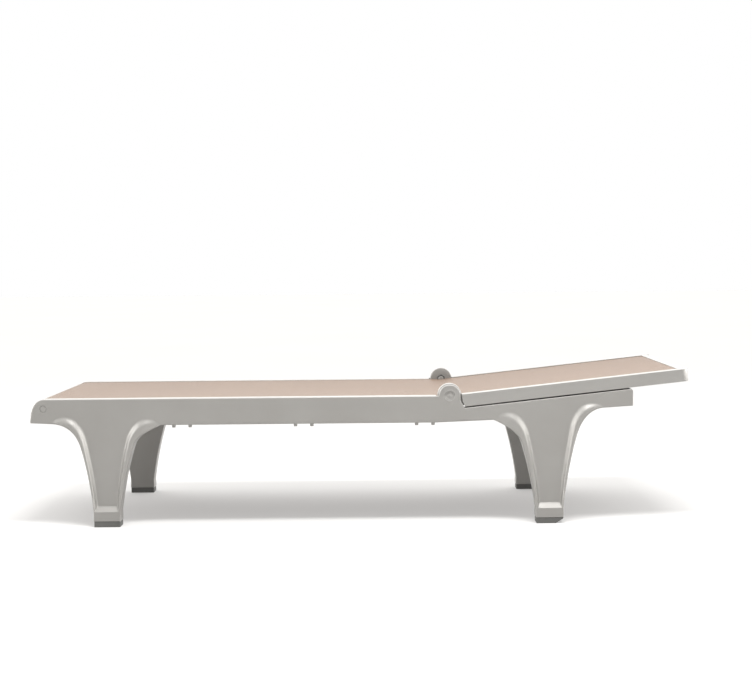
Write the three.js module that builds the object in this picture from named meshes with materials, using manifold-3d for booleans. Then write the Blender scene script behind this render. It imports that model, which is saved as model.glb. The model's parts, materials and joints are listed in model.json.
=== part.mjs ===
// A reclining sun lounger: two moulded side frames joined by crossbars, a hinged backrest frame,
// a woven sling over both, and a folding stay whose rod rests in two toothed racks.
// Millimetres, +X towards the head end, +Z up, origin on the floor under the middle of the lounger.
import * as THREE from "three";
import { mergeVertices } from "three/addons/utils/BufferGeometryUtils.js";
import Module from "manifold-3d";

// Overall size
const LENGTH = 1930;
const RAIL_FACE = 350; // from the middle plane to the outer face of a side rail
const RAIL_INNER = 308; // and to its inner face
const BAND_PROUD = 12; // how far foot blocks and leg shoulders stand out of the rail's face
const RAIL_TOP = 376;
const RAIL_BOTTOM = 298;
const WALL = 4.5;
const GAP = 0.3; // left between pieces that touch on the real lounger
const CURVE_STEPS = 7;
const FOOT_END = -LENGTH / 2;

// Side frame, with lengths measured from the foot end
const NOSE_BOTTOM = 307;
const NOSE_FRONT = { x: 4, z: 337 };
const NOSE_TOP = 44;
const FRONT_FOOT = [184, 262];
const REAR_FOOT = [1480, 1560];
const REAR_END = 1766;
const REAR_END_BOTTOM = 342;
const CORNER = 7; // bevel at the frame's top rear corner
const REAR_RISE = 33; // the rear leg's outer arch ends this much higher than the front leg's
const INNER_RISE = 6; // and so does its inner arch, with the rail's bottom rising to it
const CAP_HEIGHT = 17;
const LEDGE_BOTTOM = 45;
const LEDGE_TOP = 61;

// Hinge and backrest; the backrest is drawn lying flat with the hinge at its own origin
const HINGE = { x: FOOT_END + 1230, z: RAIL_TOP };
const REST_TILT = THREE.MathUtils.degToRad(6);
const EAR_RADIUS = 32;
const EAR_INNER = 336;
const EAR_SLANT = { from: -14, along: 11 }; // the step behind the ear
const KNUCKLE_RADIUS = 35;
const POCKET_RADIUS = 40;
const BACK_HEIGHT = 36;
const BACK_GAP = 4;
const BACK_TIP = LENGTH / 2 - HINGE.x - BACK_HEIGHT * Math.sin(REST_TILT);
const BACK_LENGTH = BACK_TIP / Math.cos(REST_TILT);
const HEAD_BAR_WIDTH = 24;
const HEAD_CORNER = 20;
const PIN_RADIUS = 8;
const PIN_HEAD_RADIUS = 14;
const PIN_HEAD = 3.5;
const BUSH_RADIUS = 11;

// Sling, and the round splines that hold its hems in keyhole grooves
const SLING_DROP = 3;
const SLING_THICKNESS = 2;
const SLING_SLACK = 0.5; // room above and below the sling in a groove
const SPLINE_DROP = 7;
const GROOVE_DEPTH = 14;
const GROOVE_RADIUS = 4.5;
const SPLINE_RADIUS = 4;
const HINGE_FREE = 58; // on both sides of the hinge the sling's edge leaves the groove
// Upright slot behind the foot bar's lip, where the sling's end turns down to its spline
const FOOT_SLOT = { from: FOOT_END + 30, to: FOOT_END + 34, bottom: 355.5 };
const FOOT_BAR_EDGE = FOOT_END + 50;
const SLING_START = FOOT_END + 37;

// The stay's arms are as long as the way from the hinge to the stay's pivot,
// so its rod runs along a level line through the hinge axis
const STAY_PIVOT = { x: 245, z: -18 };
const STAY_REACH = Math.hypot(STAY_PIVOT.x, STAY_PIVOT.z);
const STAY_RISE = REST_TILT + Math.atan2(STAY_PIVOT.z, STAY_PIVOT.x);
const ARM = { inner: 272, outer: 284, halfWidth: 9, pinRadius: 5 };
const ROD = { radius: 8, half: 304, capLength: 6 };
const BACK_ANGLES = [0, 21.7, 37, 46.6, 62.4].map(THREE.MathUtils.degToRad);
const RACK = { inner: 288, outer: RAIL_INNER - GAP, bottom: 342, from: 190, to: 505 };
const RACK_CLEARANCE = 1;
const NOTCH_DEPTH = 10;
const RACK_SCREW = { radius: 2.5, head: 5, z: 351, along: [230, 470] };

// Crossbars
const SEAT_BARS = [443, 801, 1157];
const SEAT_BAR = { half: 33, top: 336, bottom: 303 };
const PEG = { spread: 24, radius: 6, bottom: 289, y: 328 };
const BACK_BARS = { lower: 120, upper: 560 };
const BACK_BAR = { half: 23, top: -13, bottom: -34 };
const REAR_BAR = { from: 1738, to: 1762, bottom: 346, top: 386 };
const TENON_REACH = 334;
const FOOT_SCREW = { x: FOOT_END + 40, z: 349, radius: 4, head: 9.5, headDepth: 3 };

const resin = { color: 0xb9b7b1, roughness: 0.42, metalness: 0.05 };
const darkResin = { color: 0x4d4c48, roughness: 0.6, metalness: 0 };
const weave = { color: 0xcab7a9, roughness: 0.85, metalness: 0 };
const steel = { color: 0xb4b6b8, roughness: 0.3, metalness: 1 };
const nylon = { color: 0xe4e2dc, roughness: 0.5, metalness: 0 };

const SIDES = { left: -1, right: 1 };

const wasm = await Module();
wasm.setup();

// From closed geometry to a solid, and back
function solid(geometry) {
  const bare = geometry.index ? geometry.toNonIndexed() : geometry.clone();
  bare.deleteAttribute("normal");
  bare.deleteAttribute("uv");
  const merged = mergeVertices(bare, 1e-4);
  const vertProperties = merged.attributes.position.array;
  const triVerts = new Uint32Array(merged.index.array);
  return new wasm.Manifold(new wasm.Mesh({ numProp: 3, vertProperties, triVerts }));
}

function geometryOf(body) {
  const { vertProperties, triVerts } = body.getMesh();
  const geometry = new THREE.BufferGeometry();
  geometry.setAttribute("position", new THREE.BufferAttribute(new Float32Array(vertProperties), 3));
  geometry.setIndex(new THREE.BufferAttribute(new Uint32Array(triVerts), 1));
  geometry.computeVertexNormals();
  return geometry;
}

const lounger = new THREE.Group();
const backrest = new THREE.Group();
backrest.position.set(HINGE.x, 0, HINGE.z);
backrest.rotation.y = -REST_TILT;
lounger.add(backrest);

function addPiece(name, body, finish, parent = lounger) {
  const mesh = new THREE.Mesh(geometryOf(body), new THREE.MeshStandardMaterial(finish));
  mesh.name = name;
  parent.add(mesh);
}

// A side view outline (x, z) as a slab between two distances from the middle plane, on one side
function slab(shape, near, far, side) {
  const depth = far - near;
  const settings = { depth, bevelEnabled: false, curveSegments: CURVE_STEPS };
  const geometry = new THREE.ExtrudeGeometry(shape, settings);
  geometry.rotateX(Math.PI / 2);
  geometry.translate(0, side > 0 ? far : -near, 0);
  return solid(geometry);
}

// A side view outline right across the lounger
function bar(shape, half) {
  return slab(shape, -half, half, 1);
}

function polygon(points) {
  return new THREE.Shape(points.map(([x, z]) => new THREE.Vector2(x, z)));
}

function rectangle(x0, x1, z0, z1) {
  return polygon([[x0, z0], [x1, z0], [x1, z1], [x0, z1]]);
}

function block(x0, x1, near, far, z0, z1, side) {
  return slab(rectangle(x0, x1, z0, z1), near, far, side);
}

// A round bar across the lounger, between two distances from the middle plane
function crossRound(radius, x, z, near, far, side = 1, segments = 20) {
  const geometry = new THREE.CylinderGeometry(radius, radius, far - near, segments);
  geometry.translate(x, (side * (near + far)) / 2, z);
  return solid(geometry);
}

function lengthRound(radius, x0, x1, y, z) {
  const geometry = new THREE.CylinderGeometry(radius, radius, x1 - x0, 10);
  geometry.rotateZ(Math.PI / 2);
  geometry.translate((x0 + x1) / 2, y, z);
  return solid(geometry);
}

// Height of a line parallel to the resting backrest, that far below the hinge
function slopeAt(x, drop) {
  return HINGE.z + (x - HINGE.x) * Math.tan(REST_TILT) - drop / Math.cos(REST_TILT);
}

// Keyhole groove along a rail's inner edge, under the lip of its rim
function railGroove(x0, x1, rim, side) {
  const high = rim - SLING_DROP + SLING_SLACK;
  const low = rim - SPLINE_DROP;
  const deep = RAIL_INNER + GROOVE_DEPTH;
  const mouth = block(x0, x1, RAIL_INNER - WALL, deep, low, high, side);
  return mouth.add(lengthRound(GROOVE_RADIUS, x0, x1, side * deep, low));
}

// The same groove along the head bar, which is drawn lying flat
function headGroove(half) {
  const edge = BACK_LENGTH - HEAD_BAR_WIDTH;
  const deep = edge + GROOVE_DEPTH;
  const mouth = bar(rectangle(edge - WALL, deep, -SPLINE_DROP, SLING_SLACK - SLING_DROP), half);
  return mouth.add(crossRound(GROOVE_RADIUS, deep, -SPLINE_DROP, -half, half, 1, 10));
}

// The foot bar's slot, with the step down behind its lip on which the sling lies
function footGroove(half) {
  const { from, to, bottom } = FOOT_SLOT;
  const ledge = RAIL_TOP - SLING_DROP - SLING_THICKNESS - GAP;
  return bar(rectangle(from, to, bottom, RAIL_TOP + 1), half)
    .add(bar(rectangle(from, FOOT_BAR_EDGE + 1, ledge, RAIL_TOP + 1), half))
    .add(crossRound(GROOVE_RADIUS, (from + to) / 2, bottom, -half, half, 1, 12));
}

// Leg edges, as curves from the foot block up to the rail. A corner's place() turns
// (distance outwards from that corner of the foot, height) into the side view.
const place = {
  frontOuter: (out, z) => [FOOT_END + FRONT_FOOT[0] - out, z],
  frontInner: (out, z) => [FOOT_END + FRONT_FOOT[1] + out, z],
  rearInner: (out, z) => [FOOT_END + REAR_FOOT[0] - out, z],
  rearOuter: (out, z) => [FOOT_END + REAR_FOOT[1] + out, z],
};

function curveBy(path, at, points) {
  path.bezierCurveTo(...points.flatMap(([out, z]) => at(out, z)));
}

function outerEdge(path, at, rise) {
  curveBy(path, at, [[8, 110], [22, 190], [37, 238 + rise * 0.2]]);
  curveBy(path, at, [[50, 278 + rise * 0.6], [76, 303 + rise], [124, 304 + rise]]);
}

function innerEdge(path, at, rise) {
  curveBy(path, at, [[8, 110], [25, 190], [43, 243]]);
  curveBy(path, at, [[54, 266], [84, 282 + rise], [122, RAIL_BOTTOM + rise]]);
}

// The same edge as points from the rail down to the foot block
function downwards(drawEdge, at, rise) {
  const path = new THREE.Path();
  path.moveTo(...at(0, LEDGE_BOTTOM));
  drawEdge(path, at, rise);
  return path.getPoints(CURVE_STEPS).reverse();
}

// The nose, from its lower corner round to the rail's top
function nosePoints() {
  const [x, z] = [FOOT_END + NOSE_FRONT.x, NOSE_FRONT.z];
  const path = new THREE.Path();
  path.moveTo(FOOT_END, NOSE_BOTTOM);
  path.lineTo(x, z);
  path.bezierCurveTo(x + 5, z + 25, x + 18, RAIL_TOP, FOOT_END + NOSE_TOP, RAIL_TOP);
  return path.getPoints(CURVE_STEPS);
}

function through(shape, points) {
  points.forEach((p) => shape.lineTo(p.x, p.y));
}

function sideOutline() {
  const rear = FOOT_END + REAR_END;
  const drop = BACK_HEIGHT + BACK_GAP;
  const ear = HINGE.x + EAR_RADIUS;
  const shape = new THREE.Shape();
  shape.moveTo(FOOT_END + NOSE_TOP, RAIL_TOP);
  through(shape, nosePoints().reverse().slice(1));
  through(shape, downwards(outerEdge, place.frontOuter, 0));
  shape.lineTo(...place.frontOuter(0, CAP_HEIGHT));
  shape.lineTo(...place.frontInner(0, CAP_HEIGHT));
  shape.lineTo(...place.frontInner(0, LEDGE_BOTTOM));
  innerEdge(shape, place.frontInner, 0);
  shape.lineTo(FOOT_END + SEAT_BARS[2] + SEAT_BAR.half, RAIL_BOTTOM);
  through(shape, downwards(innerEdge, place.rearInner, INNER_RISE));
  shape.lineTo(...place.rearInner(0, CAP_HEIGHT));
  shape.lineTo(...place.rearOuter(0, CAP_HEIGHT));
  shape.lineTo(...place.rearOuter(0, LEDGE_BOTTOM));
  outerEdge(shape, place.rearOuter, REAR_RISE);
  shape.lineTo(rear, REAR_END_BOTTOM);
  shape.lineTo(rear, slopeAt(rear, drop) - CORNER);
  shape.lineTo(rear - CORNER, slopeAt(rear - CORNER, drop));
  shape.lineTo(ear + EAR_SLANT.along, slopeAt(ear + EAR_SLANT.along, drop));
  shape.lineTo(ear, HINGE.z + EAR_SLANT.from);
  shape.lineTo(ear, HINGE.z);
  shape.absarc(HINGE.x, HINGE.z, EAR_RADIUS, 0, Math.PI, false);
  return shape;
}

// Raised band along one edge of a leg, from the foot block to its tip under the rail
function shoulder(drawEdge, at, crest, rise, side) {
  const shape = new THREE.Shape();
  shape.moveTo(...at(0, LEDGE_BOTTOM));
  drawEdge(shape, at, rise);
  curveBy(shape, at, [[112, crest - 4], [100, crest], [82, crest]]);
  curveBy(shape, at, [[55, crest], [32, crest - 20], [20, crest - 58]]);
  curveBy(shape, at, [[8, 210], [-6, 140], [-12, LEDGE_BOTTOM]]);
  return slab(shape, RAIL_FACE - 2, RAIL_FACE + BAND_PROUD, side);
}

function footBlock([from, to], side) {
  const x0 = FOOT_END + from;
  const x1 = FOOT_END + to;
  const shape = polygon([
    [x0, CAP_HEIGHT], [x1, CAP_HEIGHT], [x1, LEDGE_BOTTOM],
    [x1 - 10, LEDGE_TOP], [x0 + 10, LEDGE_TOP], [x0, LEDGE_BOTTOM],
  ]);
  return slab(shape, RAIL_FACE - 2, RAIL_FACE + BAND_PROUD, side);
}

// The hollow inside one leg, as points from its outer edge down and up to its inner edge
function legHollow(atOuter, atInner) {
  const edge = [[-WALL, CAP_HEIGHT - 1], [-WALL, LEDGE_BOTTOM], [11, 147], [31, 238]];
  const up = edge.map(([out, z]) => atInner(out, z));
  const down = edge.map(([out, z]) => atOuter(out, z)).reverse();
  return [...down, ...up, atInner(45, 272), atInner(64, RAIL_BOTTOM + WALL)];
}

// Open-bottomed channels inside the seat rail and behind the hinge, each with its leg's hollow
function frameHollows(side) {
  const ceiling = RAIL_TOP - 16;
  const below = RAIL_BOTTOM - 10;
  const seatFrom = FOOT_END + 60;
  const webFrom = HINGE.x - POCKET_RADIUS - 18;
  const seatTo = FOOT_END + SEAT_BARS[2] + SEAT_BAR.half + 2;
  const rearFrom = HINGE.x + 70;
  const rearTo = FOOT_END + REAR_END - WALL;
  const drop = BACK_HEIGHT + BACK_GAP + WALL;
  const seat = polygon([
    [seatFrom, ceiling], [seatFrom, NOSE_BOTTOM + WALL], place.frontOuter(62, NOSE_BOTTOM + WALL),
    ...legHollow(place.frontOuter, place.frontInner),
    place.frontInner(128, RAIL_BOTTOM + WALL), place.frontInner(128, below),
    [seatTo, below], [seatTo, SEAT_BAR.top + 4], [webFrom, SEAT_BAR.top + 4], [webFrom, ceiling],
  ]);
  const rear = polygon([
    [rearTo, slopeAt(rearTo, drop)], [rearTo, REAR_END_BOTTOM + WALL],
    place.rearOuter(118, NOSE_BOTTOM + REAR_RISE + WALL), place.rearOuter(56, 312),
    ...legHollow(place.rearOuter, place.rearInner),
    place.rearInner(128, RAIL_BOTTOM + INNER_RISE + WALL), place.rearInner(128, below),
    [rearFrom, below], [rearFrom, slopeAt(rearFrom, drop)],
  ]);
  const [near, far] = [RAIL_INNER + WALL, RAIL_FACE - WALL];
  return slab(seat, near, far, side).add(slab(rear, near, far, side));
}

// Room for the backrest's knuckle inboard of the ear, and the pin's hole with its countersink
function hingePocket(side) {
  const clearance = BACK_HEIGHT + BACK_GAP - 1;
  const to = HINGE.x + 62;
  const wedge = polygon([
    [HINGE.x, slopeAt(HINGE.x, clearance)], [to, slopeAt(to, clearance)],
    [to, RAIL_TOP + 40], [HINGE.x, RAIL_TOP + 40],
  ]);
  const [near, far] = [RAIL_INNER - 2, EAR_INNER];
  const { x, z } = HINGE;
  return crossRound(POCKET_RADIUS, x, z, near, far, side, 40)
    .add(slab(wedge, near, far, side))
    .add(crossRound(PIN_RADIUS + GAP, x, z, EAR_INNER - 1, RAIL_FACE + 1, side))
    .add(crossRound(PIN_HEAD_RADIUS + GAP, x, z, RAIL_FACE - PIN_HEAD - 2 * GAP, RAIL_FACE + 1, side, 32));
}

function rackScrewHole(radius, along, near, far, side) {
  return crossRound(radius + GAP, HINGE.x + along, RACK_SCREW.z, near, far, side, 12);
}

function sideFrame(side) {
  const wallCut = [RAIL_INNER - 2, RAIL_INNER + WALL + 1];
  let frame = slab(sideOutline(), RAIL_INNER, RAIL_FACE, side)
    .add(footBlock(FRONT_FOOT, side))
    .add(footBlock(REAR_FOOT, side))
    .add(shoulder(outerEdge, place.frontOuter, 327, 0, side))
    .add(shoulder(innerEdge, place.frontInner, 319, 0, side))
    .add(shoulder(innerEdge, place.rearInner, 331, INNER_RISE, side))
    .add(shoulder(outerEdge, place.rearOuter, 353, REAR_RISE, side))
    .subtract(frameHollows(side))
    .subtract(hingePocket(side))
    .subtract(railGroove(FOOT_END + 36, HINGE.x - POCKET_RADIUS + 4, RAIL_TOP, side));
  for (const x of SEAT_BARS) {
    const reach = SEAT_BAR.half + GAP;
    const [from, to] = [FOOT_END + x - reach, FOOT_END + x + reach];
    frame = frame.subtract(block(from, to, ...wallCut, RAIL_BOTTOM - 5, SEAT_BAR.top + GAP, side));
  }
  const socket = rectangle(
    FOOT_END + REAR_BAR.from + 4 - GAP, FOOT_END + REAR_BAR.to - 4 + GAP,
    REAR_BAR.bottom + 4 - GAP, REAR_BAR.top - 4 + GAP,
  );
  frame = frame.subtract(slab(socket, ...wallCut, side));
  const { x, z, radius, head, headDepth } = FOOT_SCREW;
  frame = frame
    .subtract(crossRound(radius + GAP, x, z, RAIL_INNER - 1, RAIL_FACE + 1, side, 12))
    .subtract(crossRound(head + GAP, x, z, RAIL_FACE - headDepth - GAP, RAIL_FACE + 1, side));
  for (const along of RACK_SCREW.along) {
    frame = frame.subtract(rackScrewHole(RACK_SCREW.radius, along, ...wallCut, side));
  }
  return frame;
}

// Foot cap: a shoe under the foot block with a hollow plug inside the leg
function footCap([from, to], chamfered, side) {
  const [x0, x1, top] = [FOOT_END + from + 1, FOOT_END + to - 1, CAP_HEIGHT - GAP];
  const heel = chamfered ? [[x1 - 22, 0], [x1, top - 3]] : [[x1, 0]];
  const outline = polygon([[x0, 0], ...heel, [x1, top], [x0, top]]);
  const shoe = slab(outline, RAIL_INNER + 1, RAIL_FACE + BAND_PROUD - 1, side);
  const inset = WALL + GAP - 1;
  const [near, far] = [RAIL_INNER + WALL + GAP, RAIL_FACE - WALL - GAP];
  const plug = block(x0 + inset, x1 - inset, near, far, top - 1, top + 20, side);
  const core = block(x0 + inset + 4, x1 - inset - 4, near + 4, far - 4, top, top + 21, side);
  return shoe.add(plug).subtract(core);
}

// Foot bar: a C section whose front follows the nose of the side frames
function footBar() {
  const half = RAIL_INNER - GAP;
  const ceiling = RAIL_TOP - 28;
  const shape = new THREE.Shape();
  shape.moveTo(FOOT_END, NOSE_BOTTOM);
  through(shape, nosePoints().slice(1));
  shape.lineTo(FOOT_BAR_EDGE, RAIL_TOP);
  shape.lineTo(FOOT_BAR_EDGE, ceiling);
  shape.lineTo(FOOT_END + 24, ceiling);
  shape.bezierCurveTo(
    FOOT_END + 16, ceiling, FOOT_END + 10, 342, FOOT_END + NOSE_FRONT.x + WALL, NOSE_FRONT.z - 2,
  );
  shape.lineTo(FOOT_END + WALL + 1, NOSE_BOTTOM + WALL);
  shape.lineTo(FOOT_END + 28, NOSE_BOTTOM + WALL);
  shape.lineTo(FOOT_END + 28, NOSE_BOTTOM);
  const { x, z, radius } = FOOT_SCREW;
  let body = bar(shape, half);
  for (const side of Object.values(SIDES)) {
    body = body
      .add(crossRound(radius + 7, x, z, half - 36, half, side, 16))
      .subtract(crossRound(radius + GAP, x, z, half - 30, half + 1, side, 12));
  }
  return body.subtract(footGroove(half + 1));
}

// Inverted channel between the side frames, with a tenon and two pegs in each frame's channel
function seatBar(x) {
  const half = RAIL_INNER - GAP;
  const { top, bottom } = SEAT_BAR;
  const reach = SEAT_BAR.half;
  let body = bar(rectangle(x - reach, x + reach, bottom, top), half);
  body = body.subtract(bar(rectangle(x - reach + 4, x + reach - 4, bottom - 1, top - 4), half - 12));
  for (const side of Object.values(SIDES)) {
    body = body.add(block(x - reach + 4, x + reach - 4, half - 1, TENON_REACH + 6, bottom, top - 6, side));
    for (const along of [-PEG.spread, PEG.spread]) {
      const height = bottom + 1 - PEG.bottom;
      const peg = new THREE.CylinderGeometry(PEG.radius, PEG.radius - 1, height, 12);
      peg.rotateX(Math.PI / 2);
      peg.translate(x + along, side * PEG.y, PEG.bottom + height / 2);
      body = body.add(solid(peg));
    }
  }
  return body;
}

function rearBar() {
  const { from, to, bottom, top } = REAR_BAR;
  const [x0, x1] = [FOOT_END + from, FOOT_END + to];
  const half = RAIL_INNER - GAP;
  return bar(rectangle(x0, x1, bottom, top), half)
    .subtract(bar(rectangle(x0 + 4, x1 - 4, bottom - 1, top - 5), half - 10))
    .add(bar(rectangle(x0 + 4, x1 - 4, bottom + 4, top - 4), TENON_REACH)
      .subtract(bar(rectangle(x0, x1, bottom, top), half - 1)));
}

// Where the stay's rod lies along its level line, for one angle of the backrest
function rodAlong(angle) {
  return 2 * STAY_REACH * Math.cos(angle + STAY_RISE);
}

function rack(side) {
  const tip = HINGE.z - ROD.radius - RACK_CLEARANCE;
  const [from, to] = [HINGE.x + RACK.from, HINGE.x + RACK.to];
  const points = [[from, RACK.bottom], [to, RACK.bottom], [to, tip]];
  for (const angle of BACK_ANGLES) {
    const x = HINGE.x + rodAlong(angle);
    points.push([x + 9, tip], [x + 7, tip - NOTCH_DEPTH], [x - 5, tip - NOTCH_DEPTH], [x - 15, tip]);
  }
  points.push([from, tip]);
  let body = slab(polygon(points), RACK.inner, RACK.outer, side);
  const { radius, head, along } = RACK_SCREW;
  for (const x of along) {
    body = body
      .subtract(rackScrewHole(radius, x, RACK.inner - 1, RACK.outer + 1, side))
      .subtract(rackScrewHole(head, x, RACK.inner - 1, RACK.inner + 4, side));
  }
  return body;
}

function rackScrew(along, side) {
  const x = HINGE.x + along;
  const { radius, head, z } = RACK_SCREW;
  return crossRound(radius, x, z, RACK.inner + 3, RAIL_INNER + 16, side, 10)
    .add(crossRound(head, x, z, RACK.inner + GAP, RACK.inner + 3.6, side, 12));
}

function footScrew(side) {
  const { x, z, radius, head, headDepth } = FOOT_SCREW;
  return crossRound(radius, x, z, RAIL_INNER - 28, RAIL_FACE - 1, side, 12)
    .add(crossRound(head, x, z, RAIL_FACE - headDepth, RAIL_FACE - GAP, side, 20));
}

function hingePin(side) {
  const { x, z } = HINGE;
  return crossRound(PIN_RADIUS, x, z, RAIL_INNER - 12, RAIL_FACE - 1, side)
    .add(crossRound(PIN_HEAD_RADIUS, x, z, RAIL_FACE - PIN_HEAD, RAIL_FACE - GAP, side, 32));
}

function hingeNut(side) {
  const { x, z } = HINGE;
  return crossRound(PIN_RADIUS + 6, x, z, RAIL_INNER - 9, RAIL_INNER - 1, side, 6)
    .subtract(crossRound(PIN_RADIUS + GAP, x, z, RAIL_INNER - 10, RAIL_INNER, side));
}

const KNUCKLE = [RAIL_INNER + GAP, EAR_INNER - 0.5];

function hingeBush(side) {
  return crossRound(BUSH_RADIUS, 0, 0, ...KNUCKLE, side)
    .subtract(crossRound(PIN_RADIUS + GAP, 0, 0, KNUCKLE[0] - 1, KNUCKLE[1] + 1, side));
}

// The plan of the backrest, with rounded corners at the head
function headPlan() {
  const shape = new THREE.Shape();
  const inner = RAIL_FACE - HEAD_CORNER;
  const x = BACK_LENGTH - HEAD_CORNER;
  shape.moveTo(-100, -RAIL_FACE);
  shape.lineTo(x, -RAIL_FACE);
  shape.absarc(x, -inner, HEAD_CORNER, -Math.PI / 2, 0, false);
  shape.absarc(x, inner, HEAD_CORNER, 0, Math.PI / 2, false);
  shape.lineTo(-100, RAIL_FACE);
  const geometry = new THREE.ExtrudeGeometry(shape, { depth: 160, bevelEnabled: false, curveSegments: 4 });
  geometry.translate(0, 0, -80);
  return solid(geometry);
}

const HEAD_ROUND = 7;
const HEAD_TENON = [BACK_LENGTH - 19, BACK_LENGTH - 7];

function backRail(side) {
  const outer = new THREE.Shape();
  outer.moveTo(EAR_RADIUS + 9, -BACK_HEIGHT);
  outer.lineTo(BACK_LENGTH, -BACK_HEIGHT);
  outer.lineTo(BACK_LENGTH - 1, -HEAD_ROUND);
  outer.quadraticCurveTo(BACK_LENGTH - 1, 0, BACK_LENGTH - HEAD_ROUND, 0);
  outer.lineTo(EAR_RADIUS + 4, 0);
  outer.lineTo(EAR_RADIUS + 4, -20);
  const wallCut = [RAIL_INNER - 2, RAIL_INNER + WALL + 1];
  const below = -BACK_HEIGHT - 1;
  let rail = slab(outer, RAIL_INNER, RAIL_FACE, side)
    .subtract(crossRound(EAR_RADIUS + 4, 0, 0, EAR_INNER - 0.5, RAIL_FACE + 1, side, 40))
    .add(crossRound(KNUCKLE_RADIUS, 0, 0, ...KNUCKLE, side, 40))
    .add(block(0, EAR_RADIUS + 20, ...KNUCKLE, -33, -3, side))
    .subtract(crossRound(BUSH_RADIUS + GAP, 0, 0, RAIL_INNER - 1, RAIL_FACE, side))
    .subtract(block(62, BACK_LENGTH - 6, RAIL_INNER + WALL, RAIL_FACE - WALL, below, -15, side))
    .subtract(railGroove(HINGE_FREE - 10, BACK_LENGTH - HEAD_BAR_WIDTH + GROOVE_DEPTH, 0, side));
  for (const x of Object.values(BACK_BARS)) {
    const reach = BACK_BAR.half + GAP;
    rail = rail.subtract(block(x - reach, x + reach, ...wallCut, below, -16, side));
  }
  const [from, to] = HEAD_TENON.map((along, end) => along + (end ? GAP : -GAP));
  rail = rail
    .subtract(block(from, to, ...wallCut, below, -15.5, side))
    .subtract(crossRound(ARM.pinRadius + GAP, STAY_PIVOT.x, STAY_PIVOT.z, ...wallCut, side, 12));
  return rail.intersect(headPlan());
}

function headBar() {
  const half = RAIL_INNER - GAP;
  const shape = new THREE.Shape();
  shape.moveTo(BACK_LENGTH - HEAD_BAR_WIDTH, -BACK_HEIGHT);
  shape.lineTo(BACK_LENGTH, -BACK_HEIGHT);
  shape.lineTo(BACK_LENGTH - 1, -HEAD_ROUND);
  shape.quadraticCurveTo(BACK_LENGTH - 1, 0, BACK_LENGTH - HEAD_ROUND, 0);
  shape.lineTo(BACK_LENGTH - HEAD_BAR_WIDTH, 0);
  const hollow = rectangle(BACK_LENGTH - HEAD_BAR_WIDTH + WALL, BACK_LENGTH - 6, -BACK_HEIGHT - 1, -15);
  let body = bar(shape, half)
    .subtract(bar(hollow, half - 10))
    .subtract(headGroove(half + 1));
  for (const side of Object.values(SIDES)) {
    body = body.add(block(...HEAD_TENON, half - 1, TENON_REACH, -33, -17, side));
  }
  return body;
}

function backBar(x) {
  const { half: reach, top, bottom } = BACK_BAR;
  const half = RAIL_INNER - GAP;
  let body = bar(rectangle(x - reach, x + reach, bottom, top), half)
    .subtract(bar(rectangle(x - reach + 4, x + reach - 4, bottom - 1, top - 4), half - 10));
  for (const side of Object.values(SIDES)) {
    body = body.add(block(x - reach + 4, x + reach - 4, half - 1, TENON_REACH, bottom, top - 5, side));
  }
  return body;
}

// A sling as a thin flat sheet; the grooves take its four edges
function sling(x0, x1) {
  const top = -SLING_DROP;
  return bar(rectangle(x0, x1, top - SLING_THICKNESS, top), RAIL_INNER + GROOVE_DEPTH - SPLINE_RADIUS - 1);
}

const SPLINE_Y = RAIL_INNER + GROOVE_DEPTH;

function sideSpline(x0, x1, rim, side) {
  return lengthRound(SPLINE_RADIUS, x0, x1, side * SPLINE_Y, rim - SPLINE_DROP);
}

function endSpline(x, z) {
  return crossRound(SPLINE_RADIUS, x, z, 4 - RAIL_INNER, RAIL_INNER - 4, 1, 10);
}

// One leg of the stay: a flat bar with an eye at each end, lying from pivot to rod
function stayArm(side) {
  const { inner, outer, halfWidth, pinRadius } = ARM;
  return block(0, STAY_REACH, inner, outer, -halfWidth, halfWidth, side)
    .add(crossRound(halfWidth, 0, 0, inner, outer, side, 24))
    .add(crossRound(halfWidth + 4, STAY_REACH, 0, inner, outer, side, 24))
    .subtract(crossRound(pinRadius + GAP, 0, 0, inner - 1, outer + 1, side, 16))
    .subtract(crossRound(ROD.radius + GAP, STAY_REACH, 0, inner - 1, outer + 1, side));
}

// Bolt that carries an arm, from its head inboard of the arm to the rail's inner wall
function stayPin(side) {
  const { inner, pinRadius } = ARM;
  return crossRound(pinRadius, 0, 0, inner - 1, RAIL_INNER + WALL, side, 16)
    .add(crossRound(pinRadius + 3, 0, 0, inner - 5, inner - GAP, side, 6));
}

function rodCap(side) {
  const { radius, half, capLength } = ROD;
  return crossRound(radius, STAY_REACH, 0, half - capLength, half, side);
}

addPiece("foot_crossbar", footBar(), resin);
SEAT_BARS.forEach((x, i) => addPiece(`seat_crossbar_${i + 1}`, seatBar(FOOT_END + x), resin));
addPiece("rear_crossbar", rearBar(), resin);

const stay = new THREE.Group();
stay.position.set(STAY_PIVOT.x, 0, STAY_PIVOT.z);
stay.rotation.y = REST_TILT + STAY_RISE;
backrest.add(stay);

const seatLevel = new THREE.Group();
seatLevel.position.z = RAIL_TOP;
lounger.add(seatLevel);
const footSplineX = (FOOT_SLOT.from + FOOT_SLOT.to) / 2;
const headSplineX = BACK_LENGTH - HEAD_BAR_WIDTH + GROOVE_DEPTH;
addPiece("sling_seat", sling(SLING_START, HINGE.x - HINGE_FREE), weave, seatLevel);
addPiece("sling_back", sling(HINGE_FREE, headSplineX - SPLINE_RADIUS - 1), weave, backrest);
addPiece("foot_spline", endSpline(footSplineX, FOOT_SLOT.bottom), nylon);
addPiece("head_spline", endSpline(headSplineX, -SPLINE_DROP), nylon, backrest);

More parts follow.
